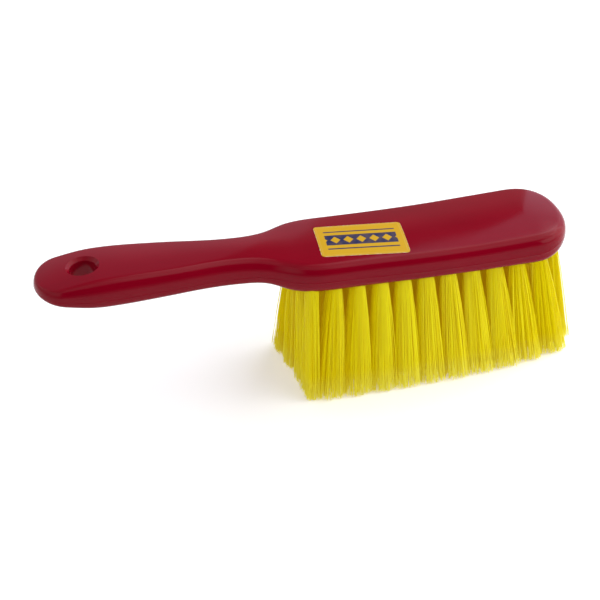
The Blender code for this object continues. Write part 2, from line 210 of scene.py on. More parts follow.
# %% Side view and plan of the stock
HANDLE_LENGTH = 0.130
HEAD_LENGTH = 0.1513
STOCK_LENGTH = HANDLE_LENGTH + HEAD_LENGTH
END_WIDTH = 0.0353
HEAD_WIDTH = 0.0553
UNDERSIDE = stock_box[0].z
HEAD_THICKNESS = 0.0174
HEAD_TOP = UNDERSIDE + HEAD_THICKNESS
PALM_THICKNESS = 0.0164
NECK_THICKNESS = 0.0151
END_THICKNESS = 0.0068
PALM_LIFT = 0.0052
HEAD_DIP = 0.0012
NOSE_LIFT = 0.0006
CURVE_SMOOTHING = 0.0035

HANDLE_WIDTHS = (
    (0.205, 0.0387), (0.31, 0.0382), (0.42, 0.0364), (0.54, 0.0336), (0.645, 0.0302),
    (0.745, 0.0280), (0.83, 0.0285), (0.908, 0.0331), (0.962, 0.0403),
)
HEAD_WIDTHS = (
    (0.012, 0.0480), (0.104, 0.0525), (0.216, 0.0524),
    (0.477, 0.0539), (0.72, HEAD_WIDTH), (1.0, HEAD_WIDTH),
)
LIFT_SHARES = ((0.0, 0.17), (0.26, 1.0), (0.54, 0.72), (0.82, 0.36), (0.99, 0.08))
HEAD_CREST = ((0.14, HEAD_TOP), (0.53, HEAD_TOP - HEAD_DIP), (1.0, HEAD_TOP + NOSE_LIFT))
HANDLE_THICKNESSES = (
    (0.0, END_THICKNESS), (0.26, PALM_THICKNESS),
    (0.54, NECK_THICKNESS), (0.775, NECK_THICKNESS), (0.895, NECK_THICKNESS),
)
UNDERSIDE_START_SHARE = -0.02

places = np.arange(0, STOCK_LENGTH + SAMPLE_STEP / 2, SAMPLE_STEP)


def side_curve(stations):
    """A smooth curve along the stock, as a function of the place from the handle's end."""
    values = averaged(curve_through(stations, places), CURVE_SMOOTHING, SAMPLE_STEP)
    return lambda x: np.interp(x, places, values)


def head_place(share):
    """A place along the head, from the handle's end."""
    return HANDLE_LENGTH + share * HEAD_LENGTH


crest_stations = [(at * HANDLE_LENGTH, HEAD_TOP + share * PALM_LIFT) for at, share in LIFT_SHARES]
crest_stations += [(head_place(at), height) for at, height in HEAD_CREST]
keel_stations = [
    (at * HANDLE_LENGTH, float(curve_through(crest_stations, at * HANDLE_LENGTH)) - thickness)
    for at, thickness in HANDLE_THICKNESSES
]
keel_stations += [(head_place(UNDERSIDE_START_SHARE), UNDERSIDE), (STOCK_LENGTH, UNDERSIDE)]
crest, keel = side_curve(crest_stations), side_curve(keel_stations)
print(f"head {HEAD_TOP * 1000:.1f} mm high, handle up to {crest(places).max() * 1000:.1f} mm")

# %% Half widths and the rounded ends
END_ROUNDING = 0.0130
END_OVERHANG = 0.0008
NOSE_ROUNDING = 0.0230
END_ROUNDNESS = 2.0
NOSE_ROUNDNESS = 2.30
OUTLINE_SMOOTHING = 0.0025
OUTLINE_STEP = 0.0003
END_POINTS = 200

width_stations = [(END_ROUNDING, END_WIDTH)]
width_stations += [(at * HANDLE_LENGTH, width) for at, width in HANDLE_WIDTHS]
width_stations += [(head_place(at), width) for at, width in HEAD_WIDTHS]
half_width = side_curve([(x, width / 2) for x, width in width_stations])


def rounded_end(start, length, half, roundness):
    """Points of a rounded end, from its tip to the side. length is signed."""
    angle = np.linspace(0, math.pi / 2, END_POINTS)
    along = start + length * np.cos(angle).clip(0) ** (2 / roundness)
    return np.column_stack((along, half * np.sin(angle) ** (2 / roundness)))


def evenly_spaced(points, step):
    """Points along the same line, the same distance apart."""
    lengths = np.concatenate(([0], np.cumsum(np.linalg.norm(np.diff(points, axis=0), axis=1))))
    at = np.linspace(0, lengths[-1], int(lengths[-1] / step) + 1)
    return np.column_stack([np.interp(at, lengths, column) for column in points.T])


nose_start = STOCK_LENGTH - NOSE_ROUNDING
end_half_width = half_width(places[places <= END_ROUNDING][-1])
side = places[(places > END_ROUNDING) & (places < nose_start)]
half_outline = np.vstack((
    rounded_end(END_ROUNDING, -END_ROUNDING - END_OVERHANG, end_half_width, END_ROUNDNESS),
    np.column_stack((side, half_width(side))),
    rounded_end(nose_start, NOSE_ROUNDING, HEAD_WIDTH / 2, NOSE_ROUNDNESS)[::-1],
))
half_outline = evenly_spaced(half_outline, OUTLINE_STEP)


def smooth_outline(points):
    """The half outline, evened out. Its mirror image carries the averaging past both tips."""
    margin = int((BELL_CUT + 1) * OUTLINE_SMOOTHING / OUTLINE_STEP)
    mirror = np.array((1, -1))
    before, after = points[margin:0:-1], points[-2 : -margin - 2 : -1]
    whole = np.vstack((before * mirror, points, after * mirror))
    for column in range(2):
        whole[:, column] = averaged(whole[:, column], OUTLINE_SMOOTHING, OUTLINE_STEP)
    return whole[margin:-margin]


outline = smooth_outline(half_outline)
outline[[0, -1], 1] = 0
print(f"{len(outline)} points from the handle's tip round to the nose's")

# %% [markdown]
# ## The stock's surface
#
# Between its plan and its side view the surface is a gentle crown on top, a flat underside, and a
# rounded edge all the way round, which follows the distance from the outline. A circular arc would
# start with a jump in curvature, which shows as a line in the gloss. So the edge is a slightly
# squarer curve that leaves the face softly, and on top it is deeper than it is wide.

# %% Heights of the surface
HANDLE_CROWN = 0.0012
HEAD_CROWN = 0.0020
HANDLE_TOP_EDGE_SHARE = 0.32
HANDLE_LOWER_EDGE_SHARE = 0.27
HEAD_TOP_RADIUS = 0.0048
HANDLE_STEEPNESS = 1.8
HEAD_STEEPNESS = 1.3
HEEL_LOWER_RADIUS = 0.0062
HEAD_LOWER_RADIUS = 0.0034
NOSE_LOWER_RADIUS = 0.0090
HEEL_SHARE = 0.5
EDGE_ROOM = 0.94
EDGE_BLEND_SHARES = (0.70, 1.20)
EDGE_SOFTNESS = 2.25
HANG_HOLE_DIAMETER = 0.0136
HANG_HOLE_INSET = 0.0241
HANG_HOLE_EDGE_RADIUS = 0.0017

hole_middle = np.array((HANG_HOLE_INSET, 0))
hole_reach = HANG_HOLE_DIAMETER / 2 + HANG_HOLE_EDGE_RADIUS


def eased(share):
    """A share from 0 to 1 with a soft start and a soft stop."""
    share = np.clip(share, 0, 1)
    return share * share * (3 - 2 * share)


def spread(points):
    """How far out each plan point is, from 0 on the middle line to 1 on the outline."""
    x, y = points[..., 0], np.abs(points[..., 1])
    middle = y / half_width(np.clip(x, END_ROUNDING, nose_start))
    back = np.clip((END_ROUNDING - x) / END_ROUNDING, 0, None)
    front = np.clip((x - nose_start) / NOSE_ROUNDING, 0, None)
    end = (back**END_ROUNDNESS + middle**END_ROUNDNESS) ** (1 / END_ROUNDNESS)
    nose = (front**NOSE_ROUNDNESS + middle**NOSE_ROUNDNESS) ** (1 / NOSE_ROUNDNESS)
    return np.where(x < END_ROUNDING, end, np.where(x > nose_start, nose, middle))


def edge_drop(distance, radius, steepness=1):
    """How far a rounded edge has fallen from its face, at a distance from the outline."""
    share = np.clip(1 - distance / radius, 0, 1)
    return steepness * radius * (1 - (1 - share**EDGE_SOFTNESS) ** (1 / EDGE_SOFTNESS))


def between(share, first, second):
    """A value on the way from the first to the second, with a soft start and a soft stop."""
    return first + (second - first) * eased(share)


def head_share(x):
    """0 on the handle and 1 on the head, at places from the handle's end."""
    start, end = (share * HANDLE_LENGTH for share in EDGE_BLEND_SHARES)
    return (x - start) / (end - start)


def crown(x):
    """How much lower the top is at its sides than along the middle."""
    return between(head_share(x), HANDLE_CROWN, HEAD_CROWN)


def face_top(points):
    """Height of the top face at plan points, without its rounded edge."""
    return crest(points[..., 0]) - crown(points[..., 0]) * np.minimum(spread(points), 1) ** 2


def top_steepness(x):
    """How much deeper than wide the upper rounded edge is."""
    return between(head_share(x), HANDLE_STEEPNESS, HEAD_STEEPNESS)


def edge_radii(x, forward):
    """Upper and lower edge radii at outline points, which face forward by a share."""
    thickness = crest(x) - keel(x)
    past_heel = (x - HANDLE_LENGTH) / (HEAD_LENGTH * HEEL_SHARE)
    lower = between(past_heel, HEEL_LOWER_RADIUS, HEAD_LOWER_RADIUS)
    lower = between(forward, lower, NOSE_LOWER_RADIUS)
    upper = between(head_share(x), HANDLE_TOP_EDGE_SHARE * thickness, HEAD_TOP_RADIUS)
    lower = between(head_share(x), HANDLE_LOWER_EDGE_SHARE * thickness, lower)
    room = EDGE_ROOM * (thickness - crown(x)) / (top_steepness(x) * upper + lower)
    return upper * np.minimum(room, 1), lower * np.minimum(room, 1)


# %% Distance from the outline
def outline_distance(points):
    """Distance from each plan point to the outline."""
    starts, steps = outline[:-1], np.diff(outline, axis=0)
    found = np.empty(len(points))
    for i, point in enumerate(points):
        to_point = point - starts
        along = np.clip((to_point * steps).sum(1) / (steps**2).sum(1), 0, 1)
        found[i] = np.sqrt(((to_point - along[:, None] * steps) ** 2).sum(1).min())
    return found


# %% [markdown]
# ## Lofting the stock
#
# The surface is laid out in cross lines. Each runs from the middle of the top, over the edge at one
# point of the outline, and back to the middle of the underside. Round the hang hole the lines start
# at its rim instead, fanned out like spokes, so that the rim has clean faces and the gloss stays
# even.

# %% Where the cross lines start and end
CROSS_LINE_SPACING = 0.0008
FAN_LENGTH = 0.0260
FAN_BLEND_LENGTH = 0.0400
NOSE_LINE_INSET = 0.0070
FACE_STEPS = 9
EDGE_STEPS = 9
PARTING_SHARE = 0.42
PARTING_HALF_WIDTH = 0.00022
PARTING_RIDGE = 0.00009

rim = evenly_spaced(outline, CROSS_LINE_SPACING)
rim[[0, -1], 1] = 0
tangent = np.gradient(rim, axis=0)
tangent[[0, -1]] = (0, 1), (0, -1)
inward = np.column_stack((tangent[:, 1], -tangent[:, 0])) / np.linalg.norm(tangent, axis=1)[:, None]
beside_hole = int(np.argmax(rim[:, 0] > HANG_HOLE_INSET))
fan_end = int(np.argmax(rim[:, 0] > HANG_HOLE_INSET + FAN_LENGTH))
nose_line = int(np.argmax(rim[:, 0] > nose_start)) - 1


def inner_points():
    """Angle round the hole and inner plan point of each cross line. The angle ends at zero."""
    steps = np.arange(len(rim))
    back = math.pi - math.pi / 2 * steps / beside_hole
    forward = math.pi / 2 * (1 - (rim[:, 0] - HANG_HOLE_INSET) / FAN_LENGTH)
    angle = np.where(steps < beside_hole, back, np.where(steps < fan_end, forward, 0)).clip(0)
    around = hole_middle + hole_reach * np.column_stack((np.cos(angle), np.sin(angle)))
    lag = rim[fan_end, 0] - (HANG_HOLE_INSET + hole_reach)
    spine = rim[:, 0] - lag * (1 - eased((rim[:, 0] - rim[fan_end, 0]) / FAN_BLEND_LENGTH))
    nose_share = np.clip((steps - nose_line) / (len(rim) - 1 - nose_line), 0, 1)
    nose_end = STOCK_LENGTH - NOSE_LINE_INSET
    spine = np.where(steps > nose_line, nose_start + (nose_end - nose_start) * nose_share, spine)
    along = np.column_stack((spine, np.zeros(len(rim))))
    return angle, np.where((steps < fan_end)[:, None], around, along)


rim_angle, inner = inner_points()
print(f"{len(rim)} cross lines on each side, {fan_end} of them round the hole")

# %% Points of the cross lines
def line_shares(radii):
    """Shares of the way from rim to inner point: fine over the edge, even over the face."""
    angle = np.linspace(0, math.pi / 2, EDGE_STEPS + 1)
    edge = radii[:, None] * (1 - np.cos(angle))
    line = inner - rim
    length = np.linalg.norm(line, axis=1)
    square = (line * inward).sum(1) / length
    edge_share = edge / (length * square)[:, None]
    face = np.linspace(0, 1, FACE_STEPS + 1)[1:]
    return np.hstack((edge_share, edge_share[:, -1:] + (1 - edge_share[:, -1:]) * face))


def cross_points(radii):
    """Plan points of every cross line, from the rim inwards, and their distance from it."""
    share = line_shares(radii)[..., None]
    points = rim[:, None] + (inner - rim)[:, None] * share
    distance = outline_distance(points.reshape(-1, 2)).reshape(share.shape[:2])
    return points, distance


forward = (rim[:, 0] - nose_start) / NOSE_ROUNDING
upper_radius, lower_radius = edge_radii(rim[:, 0], forward)
top_plan, top_distance = cross_points(upper_radius)
low_plan, low_distance = cross_points(lower_radius)
top_drop = edge_drop(top_distance, upper_radius[:, None], top_steepness(rim[:, :1]))
top_height = face_top(top_plan) - top_drop
low_height = keel(low_plan[..., 0]) + edge_drop(low_distance, lower_radius[:, None])
print(f"edges {upper_radius.min() * 1000:.1f} to {upper_radius.max() * 1000:.1f} mm round")


# %% Loft the shell
def raised(plan, height):
    """Plan points and their heights as points in the part's frame."""
    points = np.concatenate((plan, height[..., None]), axis=-1)
    points[..., 0] += stock_box[0].x
    return points


def wall_points():
    """Points between the two rounded edges: the fine ridge where the mould's halves met."""
    middle = low_height[:, :1] + (top_height[:, :1] - low_height[:, :1]) * PARTING_SHARE
    height = middle + PARTING_HALF_WIDTH * np.array((1, 0, -1))
    out = PARTING_RIDGE * np.array((0, 1, 0))
    return raised(rim[:, None] - inward[:, None] * out[:, None], height)


def add_grid(bm, rows):
    """Quads between rows of points."""
    grid = [[bm.verts.new(point) for point in row] for row in rows]
    for near, far in zip(grid, grid[1:]):
        for i in range(len(near) - 1):
            bm.faces.new((near[i], near[i + 1], far[i + 1], far[i]))


def hole_wall():
    """Rows of points down the hang hole: its rounded rim, its bore, and the lower rim."""
    angle = np.linspace(math.pi / 2, 0, EDGE_STEPS + 1)
    reach = hole_reach - HANG_HOLE_EDGE_RADIUS * (1 - np.sin(angle))
    drop = HANG_HOLE_EDGE_RADIUS * (1 - np.cos(math.pi / 2 - angle))
    spokes = np.column_stack((np.cos(rim_angle), np.sin(rim_angle)))[: fan_end + 1]
    plan = hole_middle + spokes[:, None] * reach[None, :, None]
    upper = raised(plan, face_top(plan) - drop)
    lower = raised(plan, keel(plan[..., 0]) + drop)
    return np.concatenate((upper, lower[:, ::-1]), axis=1)


bm = bmesh.new()
top_rows = raised(top_plan, top_height)[:, ::-1]
low_rows = raised(low_plan, low_height)
add_grid(bm, np.concatenate((top_rows, wall_points(), low_rows), axis=1))
add_grid(bm, hole_wall())
print(f"half of the shell has {len(bm.faces)} faces")

# %% Mirror and close the shell
MERGE_DISTANCE = 0.00001

half = bm.verts[:] + bm.edges[:] + bm.faces[:]
copied = bmesh.ops.duplicate(bm, geom=half)["geom"]
copied_verts = [item for item in copied if isinstance(item, bmesh.types.BMVert)]
bmesh.ops.scale(bm, vec=(1, -1, 1), verts=copied_verts)
bmesh.ops.remove_doubles(bm, verts=bm.verts, dist=MERGE_DISTANCE)
bmesh.ops.recalc_face_normals(bm, faces=bm.faces)
open_edges = sum(not edge.is_manifold for edge in bm.edges)
stock_mesh = finished_mesh(bm, "stock_shell")
print(f"the closed shell has {len(stock_mesh.polygons)} faces and {open_edges} open edges")

# %% [markdown]
# ## Tuft holes
#
# Each tuft sits in its own drilled hole, leaning the way the tuft leans. The solids of the
# construction model say where: a tuft's highest points are its fold, deep in the hole, and its
# lowest are its tips.

# %% Measure the tufts
TUFT_DIAMETER = 0.0065
ROOT_CLEARANCE = 0.0003
TIP_LAYER = 0.0001
HEEL_EDGE = -0.0035
HEEL_SHIFTS = ((0.005, 0), (0.020, 0.0032))


def box_middle(points):
    """Middle and half size of the box round some points."""
    low, high = points.min(0), points.max(0)
    return (low + high) / 2, (high - low) / 2


def measure_tuft(name):
    """Fold, mouth of the hole, middle of the tips and half size of the tips of one tuft."""
    points = np.array([vertex.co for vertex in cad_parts[name].data.vertices])
    fold, _ = box_middle(points[points[:, 2] > points[:, 2].max() - TUFT_DIAMETER / 4])
    tips, half_size = box_middle(points[points[:, 2] < TIP_LAYER])
    if fold[0] < HEEL_EDGE:
        fold[0] += np.interp(fold[1], *zip(*HEEL_SHIFTS))
    mouth = fold + (tips - fold) * (fold[2] - UNDERSIDE) / (fold[2] - tips[2])
    return {"name": name, "fold": fold, "mouth": mouth, "tips": tips, "half_size": half_size}


tufts = [measure_tuft(name) for name in tuft_names]
print(f"{len(tufts)} tufts measured")

# %% Drill the holes
HOLE_DIAMETER = 0.0072
HOLE_SIDES = 24
CUTTER_OVERRUN = 0.0020


def drill(bm, tuft):
    """Adds one pin to the cutter, along the tuft's axis."""
    start = Vector(tuft["mouth"])
    axis = (Vector(tuft["fold"]) - start).normalized()
    depth = (Vector(tuft["fold"]) - start).length + ROOT_CLEARANCE
    place = aimed("Z", axis, start + axis * (depth - CUTTER_OVERRUN) / 2)
    radius = HOLE_DIAMETER / 2
    bmesh.ops.create_cone(
        bm, cap_ends=True, segments=HOLE_SIDES, radius1=radius, radius2=radius,
        depth=depth + CUTTER_OVERRUN, matrix=place,
    )


bm = bmesh.new()
for tuft in tufts:
    drill(bm, tuft)
cutter = new_object("tuft_holes", finished_mesh(bm, "tuft_holes"))
stock = new_object("stock_moulding", stock_mesh)
cut = stock.modifiers.new("Tuft holes", "BOOLEAN")
cut.operation = "DIFFERENCE"
cut.solver = "EXACT"
cut.object = cutter
settled(stock)
bpy.data.objects.remove(cutter)
shade_round(stock)
print(f"{stock.name} has {len(stock.data.polygons)} faces")
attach(stock, "root")
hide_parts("stock")

# %% [markdown]
# ## Red plastic
#
# The stock is glossy dark red polypropylene, coloured right through. Moulded plastic is never quite
# even: the pigment swirls faintly, the gloss is duller in patches where hands and cloths have
# rubbed it, and the surface has a very fine orange peel. All three are noise on the object's own
# coordinates.

# %% Start a material
def new_material(name):
    """A Principled material, its tree and its shader."""
    material = bpy.data.materials.new(name)
    material.use_nodes = True
    return material, material.node_tree, material.node_tree.nodes["Principled BSDF"]


def noise(tree, scale, detail=2.0, stretch=(1, 1, 1), roughness=0.5):
    """A noise pattern on the object's coordinates. scale is in cells for each metre."""
    place = vector_maths("MULTIPLY", wire(tree, "ShaderNodeTexCoord").outputs["Object"], stretch)
    inputs = {"Vector": place, "Scale": scale, "Detail": detail, "Roughness": roughness}
    return result("ShaderNodeTexNoise", inputs)


def remap(value, low, high, new_low, new_high, **options):
    """The value, carried from one range to another and kept within it."""
    inputs = dict(enumerate((value, low, high, new_low, new_high)))
    return result("ShaderNodeMapRange", inputs, **options)


def patches(tree, values, scale, detail, stretch=(1, 1, 1), roughness=0.5, contrast=(0.35, 0.65)):
    """Noise as soft patches between two values, which span a part of the noise."""
    return remap(noise(tree, scale, detail, stretch, roughness), *contrast, *values)


def relief(height, strength, distance=0.0001):
    """A normal for the shader, bent by a fine relief."""
    return result("ShaderNodeBump", {"Strength": strength, "Distance": distance, "Height": height})


def blend_colours(factor, first, second):
    """A mix of two colours, each a value or another node's output."""
    return result("ShaderNodeMix", {"Factor": factor, 6: first, 7: second}, 2, data_type="RGBA")


# %% Mix the red plastic
RED = (0.240, 0.0008, 0.0108, 1)
DEEP_RED = (0.214, 0.0006, 0.0096, 1)
GLOSS_ROUGHNESS = (0.09, 0.16)

red_plastic, tree, shader = new_material("red_gloss_plastic")
swirl = patches(tree, (0, 1), scale=38, detail=3, stretch=(0.45, 1, 1))
worn = {"stretch": (0.6, 1, 1), "roughness": 0.6, "contrast": (0.4, 0.75)}
feed(shader, {
    "Base Color": blend_colours(swirl, RED, DEEP_RED),
    "Roughness": patches(tree, GLOSS_ROUGHNESS, scale=55, detail=5, **worn),
    "Normal": relief(noise(tree, scale=900, detail=2), strength=0.06),
    "IOR": 1.47,
    "Specular IOR Level": 0.16,
})
paint(stock, red_plastic)
print(f"{stock.name} is {red_plastic.name}")

# %% [markdown]
# ## Bristles
#
# Each tuft is some two hundred crimped filaments, folded in half and driven into a hole. They leave
# it as a tight round bundle and splay, and after trimming their tips cover a rounded square, so
# that neighbouring tufts just meet on the floor. Geometry Nodes grow them: the tree is given one
# point for each tuft, and makes one bent, tapering filament for each strand.

# %% Nodes for attributes and random draws
NUMBERS = ("mouth_share", "twist", "tone", "along")


def data_type(name):
    """The kind of an attribute: a number for the names above, and a vector for the rest."""
    return "FLOAT" if name in NUMBERS else "FLOAT_VECTOR"


def attribute(tree, name):
    """The values of a named attribute."""
    node = wire(tree, "GeometryNodeInputNamedAttribute", {"Name": name}, data_type=data_type(name))
    return node.outputs["Attribute"]


def store(geometry, name, value):
    """The geometry with a value kept on each of its points."""
    inputs = {"Geometry": geometry, "Name": name, "Value": value}
    return result("GeometryNodeStoreNamedAttribute", inputs, data_type=data_type(name))


def drawn(sizes, turn, low=0.0, high=1.0):
    """A random number or vector for each point. Each turn adds to the tree's seed."""
    seed = maths("ADD", sizes["Seed"], turn)
    kind = "FLOAT" if isinstance(low, float) else "FLOAT_VECTOR"
    node = wire(seed.id_data, "FunctionNodeRandomValue", data_type=kind)
    limits = [socket for socket in node.inputs if socket.enabled and socket.name in ("Min", "Max")]
    for socket, value in zip(limits, (low, high)):
        socket.default_value = value
    feed(node, {"Seed": seed})
    return next(socket for socket in node.outputs if socket.enabled)


# %% Inputs of the bristle tree
BRISTLE_INPUTS = {
    "Strands": 400,
    "Filament radius": 0.000145,
    "Bundle radius": 0.0034,
    "Tip scatter": 0.0008,
    "Tip unevenness": 0.0009,
    "Tip clumps": 0.0030,
    "Outer tip rise": 0.0003,
    "Crimp": 0.0014,
    "Fray": 0.0006,
    "Seed": 7,
}


def bristle_tree():
    """The Geometry Nodes tree that grows the filaments of one row of tufts."""
    tree = bpy.data.node_groups.new("grow_bristles", "GeometryNodeTree")
    tree.interface.new_socket("Geometry", in_out="INPUT", socket_type="NodeSocketGeometry")
    for name, value in BRISTLE_INPUTS.items():
        kind = "NodeSocketInt" if isinstance(value, int) else "NodeSocketFloat"
        tree.interface.new_socket(name, in_out="INPUT", socket_type=kind).default_value = value
    tree.interface.new_socket("Material", in_out="INPUT", socket_type="NodeSocketMaterial")
    tree.interface.new_socket("Geometry", in_out="OUTPUT", socket_type="NodeSocketGeometry")
    sizes = wire(tree, "NodeGroupInput").outputs
    strands = lay_out_strands(tree, sizes)
    filaments = bend_filaments(tree, sizes, strands)
    wire(tree, "NodeGroupOutput", {0: filaments})
    return tree


# %% Lay out the strands of each tuft
GOLDEN_ANGLE = math.pi * (3 - math.sqrt(5))
TIP_SQUARENESS = 3.6
TIP_SPREAD = 1.08
RIM_CROWDING = 0.44
STRAY_SHARE = 0.025
STRAY_REACH = 2.5
CLUMPS_PER_METRE = 420
CLUMP_MIDDLE = (0.5, 0.5, 0.3)
CLUMP_STRENGTH = (1, 1, 0.5)
LOWEST_TIP = 0.00015
TRIMMED_HALF_WIDTH = 0.0317
RIM_POWER = 4.0


def strand_circle(tree, sizes, number):
    """Where each strand is in its tuft: its direction from the axis, and how far out it is."""
    share = maths("DIVIDE", maths("ADD", number, 0.5), sizes["Strands"])
    out = maths("POWER", share, RIM_CROWDING)
    angle = maths("MULTIPLY_ADD", number, GOLDEN_ANGLE, attribute(tree, "twist"))
    across, along = maths("COSINE", angle), maths("SINE", angle)
    circle = result("ShaderNodeCombineXYZ", {"X": across, "Y": along})
    sizes_of_both = [maths("ABSOLUTE", value) for value in (across, along)]
    powers = [maths("POWER", value, TIP_SQUARENESS) for value in sizes_of_both]
    squarer = maths("POWER", maths("ADD", *powers), 1 / TIP_SQUARENESS)
    return circle, out, squarer


def scattered(sizes, tip):
    """The tip, moved aside at random. A few stray much further."""
    aside = drawn(sizes, 0, (-1, -1, 0), (1, 1, 0))
    strays = maths("LESS_THAN", drawn(sizes, 1), STRAY_SHARE)
    stray = maths("MULTIPLY_ADD", strays, STRAY_REACH - 1, 1.0)
    aside = vector_maths("SCALE", aside, maths("MULTIPLY", stray, sizes["Tip scatter"]))
    return vector_maths("ADD", tip, aside)


def trimmed(tree, sizes, tip, out):
    """The tip, raised off the floor as uneven trimming leaves it, and gathered into clumps."""
    uneven = maths("MULTIPLY", drawn(sizes, 2), sizes["Tip unevenness"])
    at_rim = maths("POWER", out, RIM_POWER)
    rise = maths("MULTIPLY_ADD", at_rim, sizes["Outer tip rise"], uneven)
    tip = vector_maths("ADD", tip, result("ShaderNodeCombineXYZ", {"Z": rise}))
    middle = attribute(tree, "tips")
    place = vector_maths("ADD", tip, middle)
    inputs = {"Vector": place, "Scale": CLUMPS_PER_METRE, "Detail": 1.0}
    clump = vector_maths("SUBTRACT", result("ShaderNodeTexNoise", inputs, "Color"), CLUMP_MIDDLE)
    clump = vector_maths("MULTIPLY", clump, CLUMP_STRENGTH)
    place = vector_maths("ADD", place, vector_maths("SCALE", clump, sizes["Tip clumps"]))
    place = vector_maths("MAXIMUM", place, (-1, -TRIMMED_HALF_WIDTH, LOWEST_TIP))
    place = vector_maths("MINIMUM", place, (1, TRIMMED_HALF_WIDTH, 1))
    return vector_maths("SUBTRACT", place, middle)


def lay_out_strands(tree, sizes):
    """One point for each strand, which keeps where the strand starts and ends."""
    inputs = {"Geometry": sizes[0], "Amount": sizes["Strands"]}
    copies = wire(tree, "GeometryNodeDuplicateElements", inputs, domain="POINT")
    circle, out, squarer = strand_circle(tree, sizes, copies.outputs["Duplicate Index"])
    root = vector_maths("SCALE", circle, maths("MULTIPLY", out, sizes["Bundle radius"]))
    reach = maths("MULTIPLY", maths("DIVIDE", out, squarer), TIP_SPREAD)
    tip = vector_maths("SCALE", circle, reach)
    tip = vector_maths("MULTIPLY", tip, attribute(tree, "half_size"))
    tip = trimmed(tree, sizes, scattered(sizes, tip), out)

    points = store(copies.outputs["Geometry"], "root_offset", root)
    points = store(points, "tip_offset", tip)
    points = store(points, "tone", drawn(sizes, 3))
    points = store(points, "sway", drawn(sizes, 4, (-1, -1, 0), (1, 1, 0)))
    return store(points, "fray", drawn(sizes, 5, (-1, -1, 0), (1, 1, 0.5)))


# %% Bend one filament for each strand
FILAMENT_POINTS = 5
FILAMENT_SIDES = 3
FILAMENT_START = 0.09
POINT_CROWDING = 1.5
TIP_TAPER = 0.62
TAPER_POWER = 4.0
SPLAY_POWER = 0.66
HAIR_POINTS = 3
HAIR_START = 0.87
HAIR_THICKNESS = 0.6


def lines_on(tree, points, count):
    """A straight line for each point, and how far along it each of its places is."""
    line = wire(tree, "GeometryNodeCurvePrimitiveLine").outputs[0]
    line = result("GeometryNodeResampleCurve", {"Curve": line, "Count": count})
    lines = result("GeometryNodeInstanceOnPoints", {"Points": points, "Instance": line})
    lines = result("GeometryNodeRealizeInstances", {"Geometry": lines})
    return lines, wire(tree, "GeometryNodeSplineParameter").outputs["Factor"]


def mix_vectors(factor, first, second):
    """A place between two others."""
    return result("ShaderNodeMix", {0: factor, 4: first, 5: second}, 1, data_type="VECTOR")


def filament_place(tree, sizes, along):
    """Where a filament is, at a share of the way from its fold to its tip."""
    mouth = attribute(tree, "mouth_share")
    outside = maths("MAXIMUM", maths("SUBTRACT", along, mouth), 0.0)
    past_mouth = maths("DIVIDE", outside, maths("SUBTRACT", 1.0, mouth))
    splay = maths("POWER", past_mouth, SPLAY_POWER)
    axis = mix_vectors(along, attribute(tree, "fold"), attribute(tree, "tips"))
    offset = mix_vectors(splay, attribute(tree, "root_offset"), attribute(tree, "tip_offset"))
    belly = maths("MULTIPLY", past_mouth, maths("SUBTRACT", 1.0, past_mouth))
    crimp = maths("MULTIPLY", belly, sizes["Crimp"])
    bow = vector_maths("SCALE", attribute(tree, "sway"), crimp)
    return vector_maths("ADD", vector_maths("ADD", axis, offset), bow)


def tubes_round(sizes, lines, along, place, thickness):
    """The lines in their places, as thin tubes. thickness is a share of the filament's."""
    lines = result("GeometryNodeSetPosition", {"Geometry": lines, "Position": place})
    lines = store(lines, "along", along)
    inputs = {"Resolution": FILAMENT_SIDES, "Radius": sizes["Filament radius"]}
    ring = result("GeometryNodeCurvePrimitiveCircle", inputs)
    inputs = {"Curve": lines, "Profile Curve": ring, "Scale": thickness, "Fill Caps": True}
    return result("GeometryNodeCurveToMesh", inputs)


def bend_filaments(tree, sizes, strands):
    """A tapering tube for each strand, and the finer hair that splits off near its tip."""
    lines, factor = lines_on(tree, strands, FILAMENT_POINTS)
    crowded = maths("POWER", factor, POINT_CROWDING)
    along = maths("MULTIPLY_ADD", crowded, 1 - FILAMENT_START, FILAMENT_START)
    place = filament_place(tree, sizes, along)
    worn_thin = maths("POWER", attribute(tree, "along"), TAPER_POWER)
    thickness = maths("MULTIPLY_ADD", worn_thin, TIP_TAPER - 1, 1.0)
    filaments = tubes_round(sizes, lines, along, place, thickness)

    lines, factor = lines_on(tree, strands, HAIR_POINTS)
    along = maths("MULTIPLY_ADD", factor, 1 - HAIR_START, HAIR_START)
    reach = maths("MULTIPLY", factor, sizes["Fray"])
    aside = vector_maths("SCALE", attribute(tree, "fray"), reach)
    place = vector_maths("ADD", filament_place(tree, sizes, along), aside)
    hairs = tubes_round(sizes, lines, along, place, HAIR_THICKNESS)

    joined = tree.nodes.new("GeometryNodeJoinGeometry")
    for tubes in (filaments, hairs):
        tree.links.new(tubes, joined.inputs[0])
    inputs = {"Geometry": joined.outputs[0], "Shade Smooth": False}
    tubes = result("GeometryNodeSetShadeSmooth", inputs)
    tubes = result("GeometryNodeRealizeInstances", {"Geometry": tubes})
    return result("GeometryNodeSetMaterial", {"Geometry": tubes, "Material": sizes["Material"]})


# %% [markdown]
# ## Yellow filament
#
# The filaments are given a very weak warm glow of their own, a painted glow in place of the light
# that real filaments let through and pass on. Their tips are worn matt and split, which makes them
# paler. No two filaments have quite the same tone.

# %% Mix the yellow of the filaments
YELLOW = (0.870, 0.835, 0.004, 1)
WARM_YELLOW = (0.860, 0.765, 0.003, 1)
PALE_TIP = (0.890, 0.870, 0.11, 1)
PAINTED_GLOW_COLOUR = (1.0, 0.60, 0.0, 1)
WORN_FROM, WORN_FULLY = 0.74, 0.98
LEAST_WORN = 0.6

